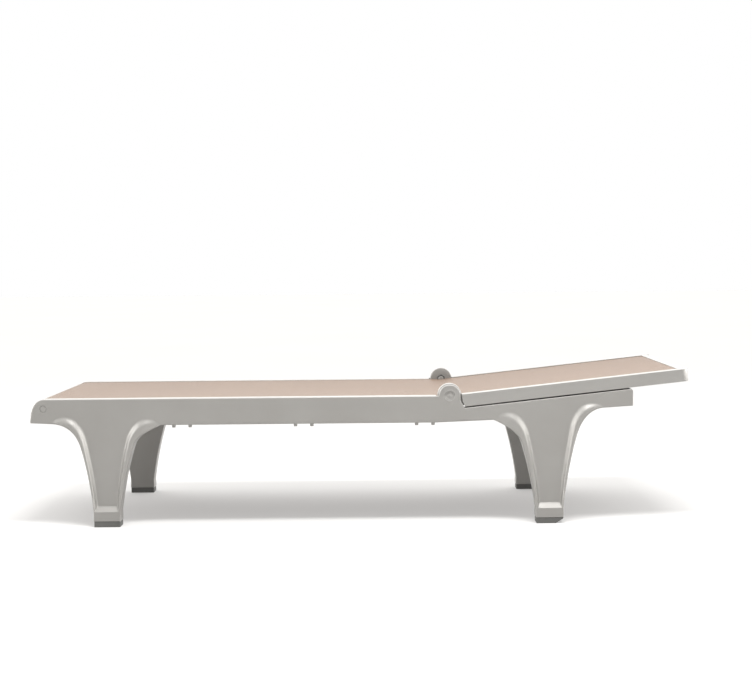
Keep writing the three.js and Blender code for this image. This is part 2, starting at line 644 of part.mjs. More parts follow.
for (const [name, side] of Object.entries(SIDES)) {
  addPiece(`side_frame_${name}`, sideFrame(side), resin);
  addPiece(`foot_cap_front_${name}`, footCap(FRONT_FOOT, false, side), darkResin);
  addPiece(`foot_cap_rear_${name}`, footCap(REAR_FOOT, true, side), darkResin);
  addPiece(`foot_screw_${name}`, footScrew(side), resin);
  addPiece(`hinge_pin_${name}`, hingePin(side), resin);
  addPiece(`hinge_nut_${name}`, hingeNut(side), darkResin);
  addPiece(`rack_${name}`, rack(side), darkResin);
  addPiece(`rack_screw_front_${name}`, rackScrew(RACK_SCREW.along[0], side), steel);
  addPiece(`rack_screw_rear_${name}`, rackScrew(RACK_SCREW.along[1], side), steel);
  const seatSpline = sideSpline(SLING_START, HINGE.x - HINGE_FREE, 0, side);
  addPiece(`seat_spline_${name}`, seatSpline, nylon, seatLevel);

  addPiece(`back_rail_${name}`, backRail(side), resin, backrest);
  addPiece(`hinge_bush_${name}`, hingeBush(side), nylon, backrest);
  const backSpline = sideSpline(HINGE_FREE, BACK_LENGTH - HEAD_BAR_WIDTH - 4, 0, side);
  addPiece(`back_spline_${name}`, backSpline, nylon, backrest);

  addPiece(`stay_arm_${name}`, stayArm(side), darkResin, stay);
  addPiece(`stay_pin_${name}`, stayPin(side), steel, stay);
  addPiece(`stay_rod_cap_${name}`, rodCap(side), darkResin, stay);
}

addPiece("back_crossbar_lower", backBar(BACK_BARS.lower), resin, backrest);
addPiece("back_crossbar_upper", backBar(BACK_BARS.upper), resin, backrest);
addPiece("head_crossbar", headBar(), resin, backrest);
const rodHalf = ROD.half - ROD.capLength - GAP;
addPiece("stay_rod", crossRound(ROD.radius, STAY_REACH, 0, -rodHalf, rodHalf), steel, stay);

export default lounger;
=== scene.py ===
import json
import math

import bmesh
import bpy
import numpy as np
from mathutils import Matrix, Vector
from mathutils.geometry import delaunay_2d_cdt


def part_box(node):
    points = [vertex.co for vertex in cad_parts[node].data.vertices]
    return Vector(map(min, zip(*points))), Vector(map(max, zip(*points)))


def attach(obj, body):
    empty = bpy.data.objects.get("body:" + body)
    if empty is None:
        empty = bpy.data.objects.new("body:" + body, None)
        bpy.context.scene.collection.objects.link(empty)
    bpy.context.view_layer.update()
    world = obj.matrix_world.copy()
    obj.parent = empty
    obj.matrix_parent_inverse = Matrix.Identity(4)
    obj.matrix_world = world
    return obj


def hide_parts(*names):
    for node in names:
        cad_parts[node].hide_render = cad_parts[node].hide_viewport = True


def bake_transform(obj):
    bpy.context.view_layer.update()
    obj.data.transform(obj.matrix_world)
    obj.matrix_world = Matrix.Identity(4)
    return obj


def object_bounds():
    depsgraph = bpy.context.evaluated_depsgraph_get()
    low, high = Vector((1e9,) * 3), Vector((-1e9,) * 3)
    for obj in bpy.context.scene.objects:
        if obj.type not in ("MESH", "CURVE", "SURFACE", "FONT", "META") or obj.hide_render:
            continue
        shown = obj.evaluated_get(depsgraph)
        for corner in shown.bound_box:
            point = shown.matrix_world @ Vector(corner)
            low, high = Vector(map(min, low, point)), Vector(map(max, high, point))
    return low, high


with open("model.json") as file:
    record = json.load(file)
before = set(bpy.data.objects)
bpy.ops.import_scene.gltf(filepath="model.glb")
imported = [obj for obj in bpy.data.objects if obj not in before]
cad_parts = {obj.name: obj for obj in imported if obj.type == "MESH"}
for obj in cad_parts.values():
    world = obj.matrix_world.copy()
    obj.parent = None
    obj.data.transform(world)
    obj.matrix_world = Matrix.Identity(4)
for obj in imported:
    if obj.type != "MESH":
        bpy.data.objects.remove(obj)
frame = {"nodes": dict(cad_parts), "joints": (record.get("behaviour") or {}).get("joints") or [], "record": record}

CAD_LOW, CAD_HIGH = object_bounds()
MM = 0.001


def box_mm(node):
    low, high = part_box(node)
    return np.array(low) / MM, np.array(high) / MM


# Driving dimensions; REST_TILT and GAP repeat the CAD, and the rest is read from the frame
JOINTS = {joint["name"]: joint for joint in frame["joints"]}
HINGE = np.array(JOINTS["backrest_recline"]["pos_m"]) / MM
REST_TILT = math.radians(6)
GAP = 0.3
FOOT_END = CAD_LOW.x / MM
HEAD_END = CAD_HIGH.x / MM
RAIL_TOP = HINGE[2]
RAIL_INNER = box_mm("foot_crossbar")[1][1] + GAP
RAIL_FACE = box_mm("hinge_pin_right")[1][1] + GAP
PROUD = box_mm("side_frame_right")[1][1] - RAIL_FACE
REAR_END = box_mm("side_frame_right")[1][0]
CAP_TOP = box_mm("side_frame_right")[0][2]
NOSE_BOTTOM = box_mm("foot_crossbar")[0][2]
FRONT_FOOT = [box_mm("foot_cap_front_right")[0][0] - 1, box_mm("foot_cap_front_right")[1][0] + 1]
REAR_FOOT = [box_mm("foot_cap_rear_right")[0][0] - 1, box_mm("foot_cap_rear_right")[1][0] + 1]
SCREW_X, _, SCREW_Z = sum(box_mm("foot_screw_right")) / 2
SCREW_RADIUS = (box_mm("foot_screw_right")[1][2] - box_mm("foot_screw_right")[0][2]) / 2
PIN_RADIUS = (box_mm("hinge_pin_right")[1][2] - box_mm("hinge_pin_right")[0][2]) / 2

# Shape of the moulded frame
RAIL_BOTTOM = 298
WALL = 4.5
REAR_RISE = 33
INNER_RISE = 6
REAR_END_BOTTOM = 342
LEDGE = (45, 61)
EAR_RADIUS = 32
EAR_INNER = 336
EAR_SLANT = (-14, 11)
KNUCKLE_RADIUS = 35
POCKET_RADIUS = 40
BACK_HEIGHT = 36
BACK_GAP = 4
BACK_LENGTH = (HEAD_END - HINGE[0] - BACK_HEIGHT * math.sin(REST_TILT)) / math.cos(REST_TILT)
HEAD_BAR_WIDTH = 24
HEAD_CORNER = 20
SLING_DROP = 3
SLING_THICKNESS = 2
SLING_SLACK = 0.5
SPLINE_DROP = 7
GROOVE_DEPTH = 14
GROOVE_RADIUS = 4.5
FOOT_SLOT = (FOOT_END + 30, FOOT_END + 34, 355.5)
FOOT_BAR_EDGE = FOOT_END + 50
NOSE_FRONT = (FOOT_END + 4, 337)
RAIL_START = EAR_RADIUS + 4
BUSH_RADIUS = 11
SCREW_SHANK = 4

# The backrest is drawn lying flat with the hinge at its origin, and stands at its rest tilt
FLAT = Matrix.Identity(4)
BACK = Matrix.Translation(Vector(HINGE) * MM) @ Matrix.Rotation(-REST_TILT, 4, "Y")


# ---------------------------------------------------------------- profiles

def bezier(points, count=24):
    """A cubic curve through four control points, without its first point."""
    t = np.linspace(0, 1, count + 1)[1:, None]
    a, b, c, d = (np.array(p, float) for p in points)
    return (1 - t) ** 3 * a + 3 * (1 - t) ** 2 * t * b + 3 * (1 - t) * t ** 2 * c + t ** 3 * d


def arc(centre, radius, start, end, count=16):
    angles = np.radians(np.linspace(start, end, count + 1))
    return np.stack([centre[0] + radius * np.cos(angles), centre[1] + radius * np.sin(angles)], 1)


def fillet(corners, count=5):
    """A closed outline from (x, z, radius) corners, each rounded with its own radius."""
    outline = []
    for i, (x, z, radius) in enumerate(corners):
        here = np.array([x, z], float)
        before = np.array(corners[i - 1][:2], float) - here
        after = np.array(corners[(i + 1) % len(corners)][:2], float) - here
        before /= np.linalg.norm(before)
        after /= np.linalg.norm(after)
        half = math.acos(np.clip(before @ after, -1, 1)) / 2
        if radius <= 0 or half > 1.54:
            outline.append(here)
            continue
        reach = radius / math.tan(half)
        start, end = here + before * reach, here + after * reach
        centre = here + (before + after) / np.linalg.norm(before + after) * radius / math.sin(half)
        for k in range(count + 1):
            point = start + (end - start) * k / count - centre
            outline.append(centre + point / np.linalg.norm(point) * radius)
    return np.array(outline)


def densify(outline, step):
    """The same closed outline with no side longer than step."""
    dense = []
    for a, b in zip(outline, np.roll(outline, -1, axis=0)):
        pieces = max(1, math.ceil(np.linalg.norm(b - a) / step))
        dense += [a + (b - a) * k / pieces for k in range(pieces)]
    return np.array(dense)


def distance_to(points, line, closed=False):
    """Distance from each point to a polyline, and how far along it the nearest place is."""
    a, b = line[:-1], line[1:]
    if closed:
        a, b = line, np.roll(line, -1, axis=0)
    side = b - a
    length = np.linalg.norm(side, axis=1)
    before = np.concatenate([[0], np.cumsum(length)[:-1]])
    best, along = [], []
    for chunk in np.array_split(points, max(1, len(points) // 1500)):
        away = chunk[:, None] - a[None]
        t = np.clip((away * side).sum(2) / np.maximum(length ** 2, 1e-12), 0, 1)
        gap = np.linalg.norm(away - t[..., None] * side, axis=2)
        nearest = gap.argmin(1)
        rows = np.arange(len(chunk))
        best.append(gap[rows, nearest])
        along.append(before[nearest] + t[rows, nearest] * length[nearest])
    return np.concatenate(best), np.concatenate(along)


def inside(points, outline):
    x, z = points[:, 0], points[:, 1]
    odd = np.zeros(len(points), bool)
    for (x0, z0), (x1, z1) in zip(outline, np.roll(outline, -1, axis=0)):
        if z0 == z1:
            continue
        crosses = (z0 > z) != (z1 > z)
        odd ^= crosses & (x < (x1 - x0) * (z - z0) / (z1 - z0) + x0)
    return odd


def smooth(t):
    t = np.clip(t, 0, 1)
    return t * t * (3 - 2 * t)


# ---------------------------------------------------------------- mesh tools

def new_object(name, mesh):
    obj = bpy.data.objects.new(name, mesh)
    bpy.context.scene.collection.objects.link(obj)
    return obj


def from_bmesh(name, bm):
    bmesh.ops.recalc_face_normals(bm, faces=bm.faces)
    mesh = bpy.data.meshes.new(name)
    bm.to_mesh(mesh)
    bm.free()
    return new_object(name, mesh)


def apply_modifiers(obj):
    graph = bpy.context.evaluated_depsgraph_get()
    mesh = bpy.data.meshes.new_from_object(obj.evaluated_get(graph))
    obj.modifiers.clear()
    obj.data = mesh
    return obj


def boolean(obj, tools, operation="DIFFERENCE"):
    for tool in tools:
        cut = obj.modifiers.new("cut", "BOOLEAN")
        cut.operation = operation
        cut.solver = "EXACT"
        cut.object = tool
        apply_modifiers(obj)
        bpy.data.objects.remove(tool)
    return obj


def place(axes, a, b, c):
    """A point from outline coordinates a, b and depth c: "xz" extrudes along Y, "xy" along Z."""
    return Vector((a, c, b) if axes == "xz" else (a, b, c)) * MM


def prism(name, outline, axes, low, high, radius_of=None, segments=4):
    """A closed prism. radius_of(middle of an edge, "low"/"high"/"side") gives each edge's rounding."""
    bm = bmesh.new()
    rings = [[bm.verts.new(place(axes, a, b, c)) for a, b in outline] for c in (low, high)]
    count = len(outline)
    for ring in rings:
        bm.faces.new(ring)
    for i in range(count):
        j = (i + 1) % count
        bm.faces.new((rings[0][i], rings[0][j], rings[1][j], rings[1][i]))
    if radius_of:
        layer = bm.edges.layers.float.new("bevel_weight_edge")
        widths = {}
        for kind, ring in zip(("low", "high"), rings):
            for i in range(count):
                a, b = ring[i], ring[(i + 1) % count]
                widths[bm.edges.get((a, b))] = radius_of((a.co + b.co) / 2 / MM, kind)
        for i in range(count):
            edge = bm.edges.get((rings[0][i], rings[1][i]))
            turn = math.degrees(edge.calc_face_angle(0))
            widths[edge] = radius_of(rings[1][i].co / MM, "side") if turn > 25 else 0
        widest = max(widths.values())
        for edge, width in widths.items():
            edge[layer] = width / widest
    obj = from_bmesh(name, bm)
    if radius_of:
        round_off = obj.modifiers.new("round", "BEVEL")
        round_off.limit_method = "WEIGHT"
        round_off.width = widest * MM
        round_off.segments = segments
        apply_modifiers(obj)
    return obj


def lathe(name, profile, x, z, side=1, count=48):
    """A body turned about a line across the lounger; the profile is (radius, y), from axis to axis."""
    bm = bmesh.new()
    rings = []
    for radius, y in profile:
        if radius < 1e-6:
            rings.append([bm.verts.new(Vector((x, side * y, z)) * MM)])
            continue
        turn = np.linspace(0, 2 * math.pi, count, endpoint=False)
        ring = [Vector((x + radius * math.cos(a), side * y, z + radius * math.sin(a))) * MM for a in turn]
        rings.append([bm.verts.new(point) for point in ring])
    for below, above in zip(rings, rings[1:]):
        for i in range(count):
            j = (i + 1) % count
            corners = [below[i % len(below)], below[j % len(below)],
                       above[j % len(above)], above[i % len(above)]]
            bm.faces.new(list(dict.fromkeys(corners)))
    return from_bmesh(name, bm)


def disc(x, z, radius, near, far, count=64):
    return lathe("disc", [(0, near), (radius, near), (radius, far), (0, far)], x, z, 1, count)


def finish_piece(obj, material, body, nodes, at=FLAT, sharp=38):
    """Shades a piece, puts it in place and hands it to the frame."""
    obj.data.transform(at)
    obj.data.materials.clear()
    obj.data.materials.append(material)
    obj.data.shade_smooth()
    obj.data.set_sharp_from_angle(angle=math.radians(sharp))
    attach(obj, body)
    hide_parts(*nodes)
    return obj


def mirrored(obj, name):
    mesh = obj.data.copy()
    mesh.transform(Matrix.Scale(-1, 4, (0, 1, 0)))
    mesh.flip_normals()
    return new_object(name, mesh)


# ---------------------------------------------------------------- materials

def node(tree, kind, inputs=(), **settings):
    made = tree.nodes.new(kind)
    for key, value in settings.items():
        setattr(made, key, value)
    for key, value in dict(inputs).items():
        if isinstance(value, bpy.types.NodeSocket):
            tree.links.new(value, made.inputs[key])
        else:
            made.inputs[key].default_value = value
    return made


def new_material(name, **surface):
    material = bpy.data.materials.new(name)
    material.use_nodes = True
    tree = material.node_tree
    shader = tree.nodes["Principled BSDF"]
    for key, value in surface.items():
        shader.inputs[key.replace("_", " ")].default_value = value
    return material, tree, shader


def noise(tree, where, scale, detail=2, roughness=0.5):
    inputs = {"Vector": where, "Scale": scale, "Detail": detail, "Roughness": roughness}
    return node(tree, "ShaderNodeTexNoise", inputs).outputs["Fac"]


def spread(tree, value, low, high, from_low=0.0, from_high=1.0):
    inputs = {"Value": value, "From Min": from_low, "From Max": from_high,
              "To Min": low, "To Max": high}
    return node(tree, "ShaderNodeMapRange", inputs).outputs["Result"]


def combine(tree, operation, a, b):
    return node(tree, "ShaderNodeMath", {0: a, 1: b}, operation=operation).outputs[0]


def tint(tree, factor, dark, light):
    inputs = {0: factor, 6: (*dark, 1), 7: (*light, 1)}
    return node(tree, "ShaderNodeMix", inputs, data_type="RGBA").outputs[2]


def bumpy(tree, shader, height, distance, strength=1.0):
    inputs = {"Height": height, "Distance": distance, "Strength": strength}
    tree.links.new(node(tree, "ShaderNodeBump", inputs).outputs[0], shader.inputs["Normal"])


def object_place(tree):
    return node(tree, "ShaderNodeTexCoord").outputs["Object"]


def moulded(name, dark, light, roughness, grain, **surface):
    """Moulded plastic: slow colour clouds, a fine spark grain and lighter worn edges."""
    material, tree, shader = new_material(name, **surface)
    where = object_place(tree)
    clouds = noise(tree, where, 7, 3)
    fleck = noise(tree, where, 1400, 1)
    mix = combine(tree, "ADD", spread(tree, clouds, 0.1, 0.7, 0.3, 0.7),
                  spread(tree, fleck, -0.12, 0.12))
    geometry = node(tree, "ShaderNodeNewGeometry")
    wear = spread(tree, geometry.outputs["Pointiness"], 0, 0.5, 0.51, 0.6)
    colour = tint(tree, combine(tree, "ADD", mix, wear), dark, light)
    tree.links.new(colour, shader.inputs["Base Color"])
    smears = noise(tree, where, 22, 4, 0.6)
    tree.links.new(spread(tree, smears, *roughness, 0.3, 0.7), shader.inputs["Roughness"])
    bumpy(tree, shader, combine(tree, "ADD", fleck, noise(tree, where, 420, 2)), grain)
    return material


def woven(name, cord_pitch, warp, weft, painted_gap_shade):
    """Vinyl-coated cords woven one over one, with painted shade darkening the hollows between the cords. UVs are
    metres of cloth.
    """
    material, tree, shader = new_material(name, Specular_IOR_Level=0.12)
    where = node(tree, "ShaderNodeUVMap", uv_map="cloth").outputs[0]
    split = node(tree, "ShaderNodeSeparateXYZ", {0: where})
    wave, phase = [], []
    for axis in (0, 1):
        turns = combine(tree, "MULTIPLY", split.outputs[axis], math.pi / cord_pitch)
        phase.append(turns)
        wave.append(node(tree, "ShaderNodeMath", {0: turns}, operation="SINE").outputs[0])
    hump = [combine(tree, "ABSOLUTE", w, 0) for w in wave]
    over = combine(tree, "MULTIPLY", wave[0], wave[1])
    parity = node(tree, "ShaderNodeMath", {0: over}, operation="SIGN").outputs[0]
    warp_on_top = spread(tree, parity, 0, 1, -0.2, 0.2)
    height = node(tree, "ShaderNodeMix", {0: warp_on_top, 2: hump[0], 3: hump[1]}).outputs[0]
    hole = combine(tree, "MINIMUM", hump[0], hump[1])
    colour = tint(tree, warp_on_top, weft, warp)
    along = node(tree, "ShaderNodeMapping", {"Vector": where, "Scale": (2, 260, 1)}).outputs[0]
    streaks = noise(tree, along, 1, 2)
    fade = noise(tree, where, 3.5, 3)
    shade = combine(tree, "MULTIPLY", spread(tree, streaks, 0.93, 1.05), spread(tree, fade, 0.96, 1.04))
    lit = node(tree, "ShaderNodeMix", {0: 1.0, 6: colour, 7: shade}, data_type="RGBA",
               blend_type="MULTIPLY")
    # Painted shade: the low places between the cords are mixed towards a dark colour
    shaded_gaps = node(tree, "ShaderNodeMix", {0: spread(tree, height, 0.45, 0, 0.05, 0.4), 6: lit.outputs[2],
                                       7: (*painted_gap_shade, 1)}, data_type="RGBA")
    tree.links.new(shaded_gaps.outputs[2], shader.inputs["Base Color"])
    tree.links.new(spread(tree, hole, 0.62, 0.45), shader.inputs["Roughness"])
    bumpy(tree, shader, height, cord_pitch * 0.22, 0.6)
    return material


def brushed(name, colour, roughness):
    material, tree, shader = new_material(name, Metallic=1.0, Anisotropic=0.4)
    where = object_place(tree)
    stretched = node(tree, "ShaderNodeMapping", {"Vector": where, "Scale": (900, 14, 900)}).outputs[0]
    lines = noise(tree, stretched, 1, 3, 0.7)
    dull = tuple(c * 0.82 for c in colour)
    tree.links.new(tint(tree, lines, dull, colour), shader.inputs["Base Color"])
    tree.links.new(spread(tree, lines, roughness - 0.08, roughness + 0.12), shader.inputs["Roughness"])
    bumpy(tree, shader, lines, 0.00006)
    return material


RESIN = moulded("pearl_resin", (0.258, 0.250, 0.236), (0.290, 0.283, 0.269), (0.42, 0.50), 0.00005,
                Coat_Weight=0.2, Coat_Roughness=0.36, Metallic=0.45)
DARK = moulded("dark_nylon", (0.040, 0.039, 0.036), (0.075, 0.073, 0.068), (0.5, 0.62), 0.00012)
RUBBER = moulded("foot_rubber", (0.070, 0.070, 0.066), (0.115, 0.115, 0.108), (0.62, 0.78), 0.0002)
NYLON = moulded("white_nylon", (0.60, 0.585, 0.55), (0.74, 0.73, 0.69), (0.4, 0.5), 0.00008,
                Subsurface_Weight=0.08)
STEEL = brushed("stainless_steel", (0.60, 0.60, 0.59), 0.3)
# The last colour is painted shade for the hollows between the cords
WEAVE = woven("sling_weave", 0.0016, (0.199, 0.148, 0.114), (0.166, 0.121, 0.093), (0.07, 0.052, 0.04))


# ---------------------------------------------------------------- side frames

class LegEdge:
    """One edge of a leg, from the foot block up to its tip under the rail, with its raised shoulder."""

    def __init__(self, corner, outward, crest, is_outer, rise):
        self.corner, self.outward = corner, outward
        foot = (0, LEDGE[0])
        if is_outer:
            knee = (37, 238 + 0.2 * rise)
            tip = (124, 304 + rise)
            lower = [foot, (8, 110), (22, 190), knee]
            upper = [knee, (50, 278 + 0.6 * rise), (76, 303 + rise), tip]
        else:
            knee = (43, 243)
            tip = (122, RAIL_BOTTOM + rise)
            lower = [foot, (8, 110), (25, 190), knee]
            upper = [knee, (54, 266), (84, 282 + rise), tip]
        self.edge = self.at(np.vstack([[foot], bezier(lower, 46), bezier(upper, 30)]))
        hip, waist = (82, crest), (20, crest - 58)
        self.border = self.at(np.vstack([
            [(-12, LEDGE[0])],
            bezier([(-12, LEDGE[0]), (-6, 140), (8, 210), waist], 40),
            bezier([waist, (32, crest - 20), (55, crest), hip], 22),
            bezier([hip, (100, crest), (112, crest - 4), tip], 14),
        ]))
        self.crest_at = 0.34 if is_outer else 0.5
        self.outer_fall = 0.4 if is_outer else 0.22

    def at(self, points):
        return np.array([[self.corner + self.outward * out, z] for out, z in points])

    def height(self, points):
        """How far the shoulder stands out of the face there."""
        outline = np.vstack([self.edge, self.border[::-1]])
        found = np.zeros(len(points))
        near = np.flatnonzero(inside(points, outline) | (distance_to(points, self.edge)[0] < 0.2))
        if not len(near):
            return found
        to_edge, along = distance_to(points[near], self.edge)
        to_border, _ = distance_to(points[near], self.border)
        t = to_edge / np.maximum(to_edge + to_border, 1e-9)
        c = self.crest_at
        outer_fall = self.outer_fall * smooth((points[near, 1] - LEDGE[0]) / 50)
        rising = 1 - outer_fall * np.clip((c - t) / c, 0, 1) ** 2
        falling = 0.5 * (1 + np.cos(math.pi * np.clip((t - c) / (1 - c), 0, 1)))
        total = np.linalg.norm(np.diff(self.edge, axis=0), axis=1).sum()
        taper = smooth((total - along) / 62) ** 0.8
        found[near] = PROUD * taper * np.where(t < c, rising, falling)
        return found

    def rows(self):
        """Points across the shoulder, from its edge to its border."""
        count = 90
        pick = np.linspace(0, 1, count)
        lines = []
        for line in (self.edge, self.border):
            length = np.concatenate([[0], np.cumsum(np.linalg.norm(np.diff(line, axis=0), axis=1))])
            lines.append(np.stack([np.interp(pick * length[-1], length, line[:, k]) for k in (0, 1)], 1))
        return np.vstack([lines[0] + (lines[1] - lines[0]) * t for t in np.linspace(0.08, 1, 12)])


LEG_EDGES = [
    LegEdge(FRONT_FOOT[0], -1, 327, True, 0),
    LegEdge(FRONT_FOOT[1], 1, 319, False, 0),
    LegEdge(REAR_FOOT[0], -1, 331, False, INNER_RISE),
    LegEdge(REAR_FOOT[1], 1, 353, True, REAR_RISE),
]


def slope_at(x, drop):
    """Height of a line parallel to the resting backrest, that far below the hinge."""
    return RAIL_TOP + (x - HINGE[0]) * math.tan(REST_TILT) - drop / math.cos(REST_TILT)


def nose_line():
    x, z = NOSE_FRONT
    curve = bezier([(x, z), (x + 5, z + 25), (x + 18, RAIL_TOP), (FOOT_END + 44, RAIL_TOP)], 14)
    return np.vstack([[(FOOT_END, NOSE_BOTTOM), (x, z)], curve])


def frame_outline():
    """The side view of a side frame, from the nose's top round by the feet and back over the ear."""
    drop = BACK_HEIGHT + BACK_GAP
    ear = HINGE[0] + EAR_RADIUS
    front_out, front_in, rear_in, rear_out = (leg.edge for leg in LEG_EDGES)
    foot_front = [(FRONT_FOOT[0], CAP_TOP), (FRONT_FOOT[1], CAP_TOP)]
    foot_rear = [(REAR_FOOT[0], CAP_TOP), (REAR_FOOT[1], CAP_TOP)]
    step = ear + EAR_SLANT[1]
    back = fillet([(*rear_out[-1], 0), (REAR_END, REAR_END_BOTTOM, 2),
                   (REAR_END, slope_at(REAR_END, drop), 7), (step, slope_at(step, drop), 3),
                   (ear, RAIL_TOP + EAR_SLANT[0], 8), (ear, RAIL_TOP, 0)])
    flat_to = [(box_mm("seat_crossbar_3")[1][0], RAIL_BOTTOM)]
    outline = np.vstack([
        nose_line()[::-1], front_out[::-1], foot_front, front_in, flat_to, rear_in[::-1], foot_rear,
        rear_out, back[1:-1], arc((HINGE[0], RAIL_TOP), EAR_RADIUS, 0, 180, 40),
    ])
    return densify(outline, 5)


def edge_radius(outline):
    """Rounding of the silhouette's edge: large along the top, small round the foot blocks."""
    x, z = outline[:, 0], outline[:, 1]
    radius = np.full(len(outline), 3.0)
    radius[(z > RAIL_TOP - 0.5) | ((x < FOOT_END + 46) & (z > NOSE_BOTTOM + 8))] = 2.6
    radius[z < LEDGE[0] + 2] = 1.6
    for _ in range(3):
        radius = (np.roll(radius, 1) + 2 * radius + np.roll(radius, -1)) / 4
    return radius


def circle_rows(x, z, radii, count=72):
    return np.vstack([arc((x, z), radius, 0, 360 - 360 / count, count - 1) for radius in radii])


def sunk(points, x, z, radius, depth, collar):
    """A countersink with a low collar round it."""
    away = np.hypot(points[:, 0] - x, points[:, 1] - z)
    ring = collar * (smooth((away - radius) / 0.6) - smooth((away - radius - 2.4) / 0.8))
    return np.where(away < radius, -depth, ring)


SEAM_Z = RAIL_BOTTOM + 7
SEAM_DEPTH = 0.9


def face_relief(points):
    """How far the outer face stands out of the rail's plane."""
    x, z = points[:, 0], points[:, 1]
    height = np.max([leg.height(points) for leg in LEG_EDGES], axis=0)
    for x0, x1 in (FRONT_FOOT, REAR_FOOT):
        over = (x > x0 - 0.5) & (x < x1 + 0.5)
        ledge = PROUD * np.clip((LEDGE[1] - z) / (LEDGE[1] - LEDGE[0]), 0, 1)
        height = np.where(over, np.maximum(height, ledge), height)
    between = (x > LEG_EDGES[1].edge[-1, 0]) & (x < LEG_EDGES[2].edge[-1, 0])
    height -= np.where(between, SEAM_DEPTH * smooth((SEAM_Z - z) / 0.8), 0)
    height += sunk(points, HINGE[0], RAIL_TOP, PIN_RADIUS + GAP, 3.9, 0.7)
    height += sunk(points, SCREW_X, SCREW_Z, SCREW_RADIUS + GAP, 1.6, 0.25)
    return height


def edge_drop(to_edge, radius):
    """How far a quarter-round edge has fallen away, that near the silhouette."""
    into = np.clip(radius - to_edge, 0, radius)
    return radius - np.sqrt(np.maximum(radius ** 2 - into ** 2, 0))


def face_points(outline, radius):
    """Points for the face's triangles: rows beside the silhouette and along every feature."""
    ahead = np.roll(outline, -1, axis=0) - np.roll(outline, 1, axis=0)
    inward = np.stack([-ahead[:, 1], ahead[:, 0]], 1) / np.linalg.norm(ahead, axis=1)[:, None]
    rows = []
    for share, extra in ((0.08, 0), (0.3, 0), (0.62, 0), (1, 0), (1, 1.4), (1, 5)):
        rows.append(outline + inward * (radius * share + extra)[:, None])
    rows = np.vstack(rows)
    rows = rows[inside(rows, outline)]
    features = [leg.rows() for leg in LEG_EDGES]
    for x, z, bore in ((HINGE[0], RAIL_TOP, PIN_RADIUS), (SCREW_X, SCREW_Z, SCREW_RADIUS)):
        features.append(circle_rows(x, z, (bore + GAP - 0.1, bore + GAP + 0.1)))
        features.append(circle_rows(x, z, (bore + 1.2, bore + 2.6, bore + 3.6)))
    for x0, x1 in (FRONT_FOOT, REAR_FOOT):
        below = [LEDGE[0] + d for d in (-0.5, 0, 0.5, 5)]
        above = [LEDGE[1] + d for d in (-5, -0.5, 0.5, 3)]
        for z in below + above:
            across = np.arange(x0 + 2, x1 - 1.9, 3)
            features.append(np.stack([across, np.full(len(across), z)], 1))
    along = np.arange(LEG_EDGES[1].edge[-1, 0] - 4, LEG_EDGES[2].edge[-1, 0] + 4, 8)
    for z in (SEAM_Z - 0.9, SEAM_Z - 0.4, SEAM_Z, SEAM_Z + 0.3):
        features.append(np.stack([along, np.full(len(along), z)], 1))
    grid = np.stack(np.meshgrid(np.arange(FOOT_END, REAR_END, 11), np.arange(CAP_TOP, 420, 11)), -1)
    grid = grid.reshape(-1, 2)
    inner = np.vstack([*features, grid])
    inner = inner[inside(inner, outline)]
    to_edge, _ = distance_to(inner, outline, closed=True)
    inner = inner[to_edge > 6.2]
    return rows, inner


def thinned(points, outline, gap):
    """The points that keep that distance from each other and from the outline."""
    points = points[distance_to(points, outline, closed=True)[0] > 0.12]
    kept, cells = [], {}
    for x, z in points:
        i, j = math.floor(x / gap), math.floor(z / gap)
        near = [p for a in (-1, 0, 1) for b in (-1, 0, 1) for p in cells.get((i + a, j + b), ())]
        if all((x - p[0]) ** 2 + (z - p[1]) ** 2 > gap * gap for p in near):
            kept.append((x, z))
            cells.setdefault((i, j), []).append((x, z))
    return np.array(kept)


def side_frame_mesh():
    """The outer skin of the right side frame: relief face, wall and plain inner face."""
    outline = frame_outline()
    radius = edge_radius(outline)
    rows, inner = face_points(outline, radius)
    rows = thinned(rows, outline, 0.14)
    inner = thinned(inner, outline, 0.15)
    flat = np.vstack([outline, rows, inner])
    ring = list(range(len(outline)))
    made = delaunay_2d_cdt([Vector(p) for p in flat], [], [ring], 1, 1e-5, True)
    points = np.array([tuple(p) for p in made[0]])
    triangles = np.array(made[2])
    triangles = triangles[inside(points[triangles].mean(axis=1), outline)]
    at_input = {source: i for i, sources in enumerate(made[3]) for source in sources}
    loop = [at_input[i] for i in ring]
    to_edge, along = distance_to(points, outline, closed=True)
    lengths = np.linalg.norm(np.roll(outline, -1, axis=0) - outline, axis=1)
    starts = np.concatenate([[0], np.cumsum(lengths)])
    local = np.interp(along, starts, np.append(radius, radius[0]))
    outer = RAIL_FACE + face_relief(points) - edge_drop(to_edge, local)
    back = RAIL_INNER + edge_drop(to_edge, np.minimum(local, 2.5))
    bm = bmesh.new()
    front_ring = [bm.verts.new((x * MM, y * MM, z * MM)) for (x, z), y in zip(points, outer)]
    back_ring = [bm.verts.new((x * MM, y * MM, z * MM)) for (x, z), y in zip(points, back)]
    for a, b, c in triangles:
        bm.faces.new((front_ring[a], front_ring[b], front_ring[c]))
        bm.faces.new((back_ring[c], back_ring[b], back_ring[a]))
    for i, j in zip(loop, loop[1:] + loop[:1]):
        bm.faces.new((front_ring[i], front_ring[j], back_ring[j], back_ring[i]))
    return from_bmesh("side_frame_right_shell", bm)


def leg_hollow(outer, inner):
    """The hollow of one leg, as side view points from its outer edge down and up to its inner edge."""
    edge = [(-WALL, CAP_TOP - 1), (-WALL, LEDGE[0]), (11, 147), (31, 238)]
    up = [inner.at([p])[0] for p in edge]
    down = [outer.at([p])[0] for p in edge][::-1]
    return [*down, *up, *inner.at([(45, 272), (64, RAIL_BOTTOM + WALL)])]


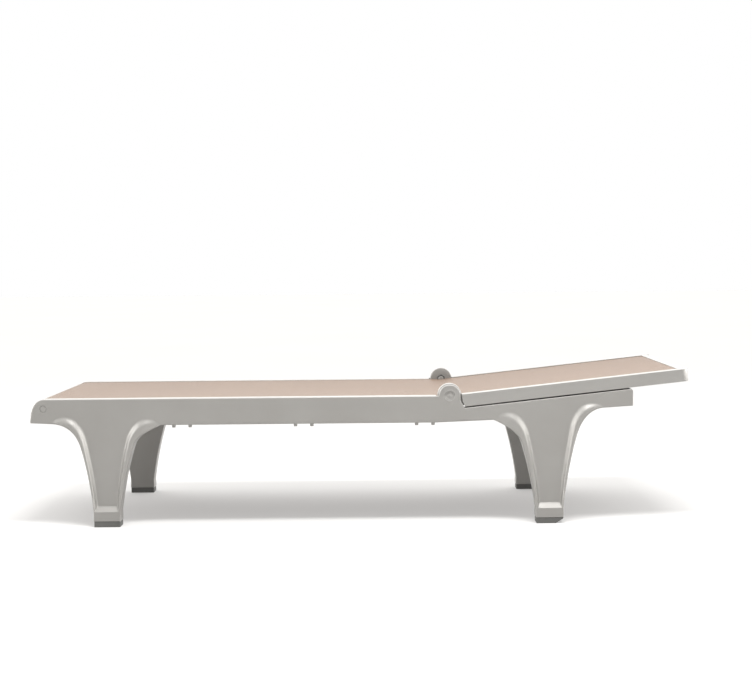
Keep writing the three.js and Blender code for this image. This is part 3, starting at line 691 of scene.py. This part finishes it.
def frame_cutters():
    """What is hollow in a side frame: channels and legs, the knuckle's pocket, the sling's groove."""
    front_out, front_in, rear_in, rear_out = LEG_EDGES
    ceiling, below = RAIL_TOP - 16, RAIL_BOTTOM - 10
    seat_to, drop = box_mm("seat_crossbar_3")[1][0] + 2, BACK_HEIGHT + BACK_GAP + WALL
    seat = np.array([
        (FOOT_END + 60, ceiling), (FOOT_END + 60, NOSE_BOTTOM + WALL),
        *front_out.at([(62, NOSE_BOTTOM + WALL)]),
        *leg_hollow(front_out, front_in), *front_in.at([(128, RAIL_BOTTOM + WALL), (128, below)]),
        (seat_to, below), (seat_to, ceiling - 20), (seat_to - 10, ceiling),
    ])
    rear_from, rear_to = HINGE[0] + 70, REAR_END - WALL
    rear = np.array([
        (rear_to, slope_at(rear_to, drop)), (rear_to, REAR_END_BOTTOM + WALL),
        *rear_out.at([(118, NOSE_BOTTOM + REAR_RISE + WALL), (56, 312)]),
        *leg_hollow(rear_out, rear_in),
        *rear_in.at([(128, RAIL_BOTTOM + INNER_RISE + WALL), (128, below)]),
        (rear_from, below), (rear_from, slope_at(rear_from, drop)),
    ])
    hollow = (RAIL_INNER + WALL, RAIL_FACE - WALL)
    to = HINGE[0] + 62
    pocket = np.vstack([
        arc((HINGE[0], RAIL_TOP), POCKET_RADIUS, -72, -270, 48),
        [(HINGE[0], RAIL_TOP + 60), (to, RAIL_TOP + 60),
         (to, slope_at(to, BACK_HEIGHT + BACK_GAP - 1))],
    ])
    groove_x = (FOOT_END + 36, HINGE[0] - POCKET_RADIUS + 4)
    return [
        prism("seat_hollow", seat, "xz", *hollow), prism("rear_hollow", rear, "xz", *hollow),
        prism("pocket", pocket, "xz", RAIL_INNER - 8, EAR_INNER), groove_cutter(groove_x, RAIL_TOP),
    ]


def groove_cutter(reach, rim):
    """Slot that takes the sling's edge along a rail, wider at its bottom for the spline."""
    high, low = rim - SLING_DROP + SLING_SLACK, rim - SPLINE_DROP
    deep = RAIL_INNER + GROOVE_DEPTH
    keyhole = np.vstack([
        [(RAIL_INNER - 4, low), (RAIL_INNER - 4, high), (deep, high)],
        arc((deep, low), GROOVE_RADIUS, 60, -180, 10),
    ])
    bm = bmesh.new()
    rings = [[bm.verts.new(Vector((x, y, z)) * MM) for y, z in keyhole] for x in reach]
    for ring in rings:
        bm.faces.new(ring)
    for i in range(len(keyhole)):
        j = (i + 1) % len(keyhole)
        bm.faces.new((rings[0][i], rings[0][j], rings[1][j], rings[1][i]))
    return from_bmesh("groove", bm)


def make_side_frames():
    right = boolean(side_frame_mesh(), frame_cutters())
    left = mirrored(right, "side_frame_left_shell")
    for name, obj in (("right", right), ("left", left)):
        finish_piece(obj, RESIN, "base", [f"side_frame_{name}"])


# ---------------------------------------------------------------- end bars

def foot_bar_section():
    """The nose's skin and lip, the upright slot, the ledge under the sling and the lower flange."""
    slot_from, slot_to, bottom = FOOT_SLOT
    ledge, ceiling = RAIL_TOP - SLING_DROP - SLING_THICKNESS - GAP, RAIL_TOP - 28
    nose = nose_line()
    skin = nose[nose[:, 0] < slot_from - 3.5]
    lip_top = np.interp(slot_from - 2, nose[:, 0], nose[:, 1])
    lip = arc((slot_from - 2, lip_top - 2), 2, 90, 0, 6)
    opening = math.degrees(math.asin((slot_to - slot_from) / 2 / GROOVE_RADIUS))
    keyhole = arc(((slot_from + slot_to) / 2, bottom), GROOVE_RADIUS, 90 + opening, 450 - opening, 22)
    behind = fillet([(slot_to, bottom + 6, 0), (slot_to, ledge, 1.5), (FOOT_BAR_EDGE, ledge, 3),
                     (FOOT_BAR_EDGE, ceiling, 1.5), (FOOT_END + 24, ceiling, 0)])[1:]
    under = [(FOOT_END + 24, ceiling), (FOOT_END + 16, ceiling), (FOOT_END + 10, 342),
             (FOOT_END + 8.5, 335)]
    foot = fillet([(FOOT_END + 8.5, 335, 0), (FOOT_END + 5.5, NOSE_BOTTOM + WALL, 1.5),
                   (FOOT_END + 28, NOSE_BOTTOM + WALL, 1.5), (FOOT_END + 28, NOSE_BOTTOM, 1.5),
                   (FOOT_END, NOSE_BOTTOM, 2), (*NOSE_FRONT, 0)])[1:-1]
    return np.vstack([skin[1:], lip, keyhole, behind, bezier(under, 10), foot])


def make_foot_bar():
    half = RAIL_INNER - GAP
    bar = prism("foot_crossbar_shell", foot_bar_section(), "xz", -half, half)
    boss = np.vstack([arc((SCREW_X, RAIL_TOP - 29), 11, 180, 360, 20), [(SCREW_X + 11, RAIL_TOP - 26)],
                      [(SCREW_X - 11, RAIL_TOP - 26)]])
    for near, far in ((half - 36, half - 0.1), (0.1 - half, 36 - half)):
        boolean(bar, [prism("boss", boss, "xz", near, far)], "UNION")
    boolean(bar, [disc(SCREW_X, SCREW_Z, SCREW_SHANK + GAP, near, far, 24)
                  for near, far in ((half - 30, half + 1), (-half - 1, 30 - half))])
    finish_piece(bar, RESIN, "base", ["foot_crossbar"], sharp=30)


def make_head_bar():
    """Drawn lying flat: the bar's rounded outer edge, and the groove that faces the sling."""
    half, inner = RAIL_INNER - GAP, BACK_LENGTH - HEAD_BAR_WIDTH
    outside = fillet([(inner, -BACK_HEIGHT, 1.5), (BACK_LENGTH, -BACK_HEIGHT, 2), (BACK_LENGTH - 1, 0, 6),
                      (inner, 0, 1.2)], 6)
    deep = inner + GROOVE_DEPTH
    groove = np.vstack([
        [(inner - 4, SLING_SLACK - SLING_DROP), (inner - 4, -SPLINE_DROP)],
        arc((deep, -SPLINE_DROP), GROOVE_RADIUS, 180, 450, 18), [(deep, SLING_SLACK - SLING_DROP)],
    ])
    hollow = fillet([(inner + WALL, -BACK_HEIGHT - 2, 0), (BACK_LENGTH - 6, -BACK_HEIGHT - 2, 0),
                     (BACK_LENGTH - 6, -15, 2), (inner + WALL, -15, 2)])
    bar = prism("head_crossbar_shell", outside, "xz", -half, half)
    boolean(bar, [prism("groove", groove, "xz", -half - 1, half + 1),
                  prism("hollow", hollow, "xz", 10 - half, half - 10)])
    finish_piece(bar, RESIN, "backrest", ["head_crossbar"], BACK, 30)


# ---------------------------------------------------------------- backrest rails and hinge

def back_rail_plan():
    """The right rail from above, lying flat, from the hinge to the rounded corner at the head."""
    corner = BACK_LENGTH - HEAD_CORNER
    head = arc((corner, RAIL_FACE - HEAD_CORNER), HEAD_CORNER, 0, 90, 14)
    return np.vstack([[(RAIL_START, RAIL_INNER), (BACK_LENGTH, RAIL_INNER)], head,
                      [(RAIL_START, RAIL_FACE)]])


def back_rail_rounding(middle, kind):
    if kind == "side":
        return 0
    at_inner_side = middle[1] < RAIL_INNER + 0.5
    at_head = middle[0] > BACK_LENGTH - 0.5
    if middle[0] < RAIL_START + 0.5:
        return 1.5
    if at_inner_side:
        return 1.2
    if kind == "low":
        return 2.2
    return 6.0 if at_head else 3.0


def make_back_rails():
    knuckle = (RAIL_INNER + GAP, EAR_INNER - 0.5)
    rail = prism("back_rail_right_shell", back_rail_plan(), "xy", -BACK_HEIGHT, 0, back_rail_rounding, 5)
    slant = np.array([(RAIL_START - 6, -16), (RAIL_START, -20), (RAIL_START + 5, -BACK_HEIGHT),
                      (RAIL_START + 5, -BACK_HEIGHT - 4), (RAIL_START - 6, -BACK_HEIGHT - 4)])
    hollow = fillet([(62, -BACK_HEIGHT - 3, 0), (BACK_LENGTH - 8, -BACK_HEIGHT - 3, 0),
                     (BACK_LENGTH - 8, -15, 3), (62, -15, 3)])
    boolean(rail, [
        prism("slant", slant, "xz", RAIL_INNER - 2, RAIL_FACE + 2),
        disc(0, 0, RAIL_START, knuckle[1], RAIL_FACE + 2, 96),
        prism("hollow", hollow, "xz", RAIL_INNER + WALL, RAIL_FACE - WALL),
    ])
    near, far, r = *knuckle, KNUCKLE_RADIUS
    round_edges = [(0, near), (r - 2, near), (r - 0.6, near + 0.6), (r, near + 2), (r, far - 3),
                   (r - 0.9, far - 0.9), (r - 3, far), (0, far)]
    neck = np.array([(2, -33), (60, -33), (60, -3), (2, -3)])
    boolean(rail, [lathe("knuckle", round_edges, 0, 0, 1, 112),
                   prism("neck", neck, "xz", near + 0.2, far - 0.2)], "UNION")
    groove = groove_cutter((48, BACK_LENGTH - HEAD_BAR_WIDTH + GROOVE_DEPTH), 0)
    boolean(rail, [disc(0, 0, BUSH_RADIUS + GAP, RAIL_INNER - 1, EAR_INNER + 1, 48), groove])
    left = mirrored(rail, "back_rail_left_shell")
    for name, obj in (("right", rail), ("left", left)):
        finish_piece(obj, RESIN, "backrest", [f"back_rail_{name}"], BACK, 32)


def make_hinge_pins():
    """Pins with a dished head and a raised boss in its middle, sunk in the ears."""
    shank, head, face = 8, PIN_RADIUS, RAIL_FACE - GAP
    profile = [
        (0, RAIL_INNER - 12), (shank - 1, RAIL_INNER - 12), (shank, RAIL_INNER - 11), (shank, face - 3.2),
        (head - 0.5, face - 3.2), (head, face - 2.7), (head, face - 0.8), (head - 0.3, face - 0.2),
        (head - 0.9, face), (head - 2.4, face), (head - 3.2, face - 0.5), (head - 3.7, face - 1.4),
        (4.6, face - 1.6), (4.0, face - 1.2), (3.4, face - 0.8), (1.5, face - 0.6), (0, face - 0.6),
    ]
    for name, side in (("right", 1), ("left", -1)):
        pin = lathe(f"hinge_pin_{name}_shell", profile, HINGE[0], HINGE[2], side, 64)
        finish_piece(pin, RESIN, "base", [f"hinge_pin_{name}"], sharp=40)


def make_screw_covers():
    radius, face = SCREW_RADIUS, RAIL_FACE - GAP
    profile = [
        (0, RAIL_INNER - 28), (SCREW_SHANK - 1, RAIL_INNER - 28), (SCREW_SHANK, RAIL_INNER - 27),
        (SCREW_SHANK, face - 2.7),
        (radius, face - 2.7), (radius, face - 0.9), (radius - 0.3, face - 0.4), (radius - 1, face - 0.1),
        (radius * 0.6, face), (0, face),
    ]
    for name, side in (("right", 1), ("left", -1)):
        screw = lathe(f"foot_screw_{name}_shell", profile, SCREW_X, SCREW_Z, side, 48)
        finish_piece(screw, RESIN, "base", [f"foot_screw_{name}"], sharp=40)


# ---------------------------------------------------------------- sling

SLING_HALF = RAIL_INNER + 9
SLING_CROWN = 0.8
SLING_SAG = 4
HEM = 13
HEM_RAISE = 0.35
RIPPLE = 0.35
FABRIC_THICKNESS = 1.1


def sling_path():
    """The sling's upper side along its middle, from the foot slot to the head groove."""
    x0 = (FOOT_SLOT[0] + FOOT_SLOT[1]) / 2 + 1
    turn, level = 3.5, RAIL_TOP - SLING_DROP + SLING_CROWN
    start = np.array([(x0 - 1, FOOT_SLOT[2] + 5), (x0 - 1, level - turn)])
    bend = arc((x0 - 1 + turn, level - turn), turn, 180, 90, 8)[1:]
    ahead = np.arange(x0 + 8, HINGE[0] - 60, 6)
    seat = np.stack([ahead, np.full(len(ahead), level)], 1)
    tilt = np.array([math.cos(REST_TILT), math.sin(REST_TILT)])
    normal = np.array([-tilt[1], tilt[0]])
    foot_of_back = HINGE[[0, 2]] - normal * (SLING_DROP - SLING_CROWN)
    along = np.arange(60, BACK_LENGTH - HEAD_BAR_WIDTH + GROOVE_DEPTH - 4, 6)
    back = foot_of_back + along[:, None] * tilt
    meet = foot_of_back + tilt * SLING_DROP * math.tan(REST_TILT / 2)
    crossing = bezier([seat[-1], meet, meet, back[0]], 20)[:-1]
    return np.vstack([start, bend, seat, crossing, back])


def make_sling():
    """One continuous sheet over seat and backrest, with a slightly raised hem along both sides."""
    path = sling_path()
    length = np.concatenate([[0], np.cumsum(np.linalg.norm(np.diff(path, axis=0), axis=1))])
    ahead = np.gradient(path, axis=0)
    normal = np.stack([-ahead[:, 1], ahead[:, 0]], 1) / np.linalg.norm(ahead, axis=1)[:, None]
    inner = np.linspace(-(SLING_HALF - HEM - 0.8), SLING_HALF - HEM - 0.8, 85)
    hem = SLING_HALF - HEM + np.array([-0.3, 0.2, 5, HEM])
    across = np.concatenate([-hem[::-1], inner, hem])
    raised = np.where(np.abs(across) > SLING_HALF - HEM, HEM_RAISE, 0)
    ends = np.minimum(length - 18, length[-1] - length)
    hold = smooth(ends / 160)
    sag = SLING_SAG * hold[:, None] * (1 - (across / RAIL_INNER) ** 2).clip(0)[None]
    ripple = RIPPLE * np.sin(length / 47)[:, None] * np.sin(across / 83)[None] * hold[:, None]
    lift = raised[None] - sag + ripple
    bm = bmesh.new()
    grid = []
    for (x, z), (nx, nz), row in zip(path, normal, lift):
        points = [Vector((x + nx * h, y, z + nz * h)) * MM for y, h in zip(across, row)]
        grid.append([bm.verts.new(point) for point in points])
    cloth = bm.loops.layers.uv.new("cloth")
    for i in range(len(path) - 1):
        for j in range(len(across) - 1):
            corners = ((i, j), (i + 1, j), (i + 1, j + 1), (i, j + 1))
            face = bm.faces.new([grid[a][b] for a, b in corners])
            for loop, (a, b) in zip(face.loops, corners):
                loop[cloth].uv = (length[a] * MM, (across[b] + SLING_HALF) * MM)
    mesh = bpy.data.meshes.new("sling")
    bm.to_mesh(mesh)
    bm.free()
    sling = new_object("sling", mesh)
    thick = sling.modifiers.new("thick", "SOLIDIFY")
    thick.thickness = FABRIC_THICKNESS * MM
    thick.offset = -1
    apply_modifiers(sling)
    sling.data.materials.append(WEAVE)
    sling.data.shade_smooth()
    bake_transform(sling)
    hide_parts("sling_seat", "sling_back")


# ---------------------------------------------------------------- pieces carried over from the frame

LOOKS = {"frame_resin": RESIN, "dark_resin": DARK, "foot_rubber": RUBBER, "sling_weave": WEAVE,
         "steel": STEEL, "nylon": NYLON}
ROUNDINGS = {"crossbar": 1.4, "cap": 1.0, "rack": 0.8, "arm": 1.5, "pin": 0.8, "nut": 0.8, "screw": 0.5,
             "bush": 0.4, "rod": 0.6}


def dress_frame_nodes():
    """Material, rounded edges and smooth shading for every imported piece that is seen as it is."""
    slots = {part["node"]: part["material_slot"] for part in frame["record"]["subparts"]}
    for name, obj in frame["nodes"].items():
        obj.data.materials.clear()
        obj.data.materials.append(LOOKS[slots[name]])
        rounding = next((width for word, width in ROUNDINGS.items() if word in name), 0)
        weld = obj.modifiers.new("weld", "WELD")
        weld.merge_threshold = 0.00002
        flat = obj.modifiers.new("flat", "DECIMATE")
        flat.decimate_type = "DISSOLVE"
        flat.angle_limit = math.radians(1)
        if rounding:
            bevel = obj.modifiers.new("round", "BEVEL")
            bevel.width = rounding * MM
            bevel.segments = 3
            bevel.limit_method = "ANGLE"
            bevel.angle_limit = math.radians(35)
        obj.data.shade_smooth()
        smooth_faces = obj.modifiers.new("shade", "WEIGHTED_NORMAL")
        smooth_faces.keep_sharp = True


# ---------------------------------------------------------------- camera, floor and light

CAMERA_PLACE = (0.0666, -4.8036, 0.7756)
CAMERA_TURNS = (3.381, 0.204, 0.572)  # pitch down, yaw and roll, in degrees
CAMERA_LENS = 73.22
FLOOR_DARK, FLOOR_LIGHT = (0.43, 0.425, 0.42), (0.45, 0.447, 0.442)
FLOOR_GLOW = 0.31
LIGHT_SIZE = (2.2, 1.0)
LIGHT_PLACE = (0.4, -1.6, 3.7)
LIGHT_TILT = -23
LIGHTS = (("overhead", 145, True), ("overhead_diffuse", 100, False))  # name, watts, seen in reflections


def make_camera():
    """Long lens from the side, above the lounger and looking down by a few degrees."""
    location = Vector(CAMERA_PLACE)
    pitch, yaw, roll = (math.radians(a) for a in CAMERA_TURNS)
    right = Vector((math.cos(yaw), math.sin(yaw), 0))
    ahead = Vector((-math.sin(yaw) * math.cos(pitch), math.cos(yaw) * math.cos(pitch), -math.sin(pitch)))
    up = right.cross(ahead)
    right, up = math.cos(roll) * right - math.sin(roll) * up, math.sin(roll) * right + math.cos(roll) * up
    data = bpy.data.cameras.new("camera")
    data.lens = CAMERA_LENS
    camera = new_object("camera", data)
    camera.matrix_world = Matrix.Translation(location) @ Matrix((right, up, -ahead)).transposed().to_4x4()
    bpy.context.scene.camera = camera


def make_studio():
    bm = bmesh.new()
    bmesh.ops.create_grid(bm, x_segments=8, y_segments=8, size=30)
    floor = from_bmesh("floor", bm)
    material, tree, shader = new_material("floor_white", Roughness=0.9)
    cloud = noise(tree, object_place(tree), 0.8, 2)
    grey = tint(tree, cloud, FLOOR_DARK, FLOOR_LIGHT)
    tree.links.new(grey, shader.inputs["Base Color"])
    shader.inputs["Emission Color"].default_value = (1.0, 0.99, 0.98, 1)
    shader.inputs["Emission Strength"].default_value = FLOOR_GLOW
    shader.inputs["Specular IOR Level"].default_value = 0.0
    floor.data.materials.append(material)

    world = bpy.data.worlds.new("studio")
    bpy.context.scene.world = world
    world.use_nodes = True
    tree = world.node_tree
    tree.nodes.clear()
    where = node(tree, "ShaderNodeTexCoord").outputs["Generated"]
    split = node(tree, "ShaderNodeSeparateXYZ", {0: where})
    # Brighter overhead and behind the lounger; the bright sides show only in reflections
    above = spread(tree, split.outputs["Z"], 0.24, 1.4, 0.05, 0.85)
    behind = spread(tree, split.outputs["Y"], 0.0, 1.6, -0.2, 0.8)
    path = node(tree, "ShaderNodeLightPath")
    beside = spread(tree, combine(tree, "ABSOLUTE", split.outputs["X"], 0), 0.0, 7.0, 0.6, 0.9)
    reflected = combine(tree, "MULTIPLY", beside, path.outputs["Is Glossy Ray"])
    level = combine(tree, "ADD", combine(tree, "ADD", above, behind), reflected)
    softbox = node(tree, "ShaderNodeBackground", {"Color": (1.0, 0.992, 0.98, 1), "Strength": level})
    paper = node(tree, "ShaderNodeBackground", {"Color": (1, 1, 1, 1), "Strength": 1.0})
    mix = node(tree, "ShaderNodeMixShader", {0: path.outputs["Is Camera Ray"], 1: softbox.outputs[0],
                                            2: paper.outputs[0]})
    node(tree, "ShaderNodeOutputWorld", {0: mix.outputs[0]})

    for name, energy, in_reflections in LIGHTS:
        data = bpy.data.lights.new(name, "AREA")
        data.shape = "RECTANGLE"
        data.size, data.size_y = LIGHT_SIZE
        data.energy = energy
        overhead = new_object(name, data)
        overhead.location = LIGHT_PLACE
        overhead.rotation_euler = (math.radians(LIGHT_TILT), 0, 0)
        overhead.visible_glossy = in_reflections
    bpy.context.scene.view_settings.view_transform = "Standard"


make_camera()
make_studio()
make_side_frames()
make_foot_bar()
make_head_bar()
make_back_rails()
make_hinge_pins()
make_screw_covers()
make_sling()
dress_frame_nodes()
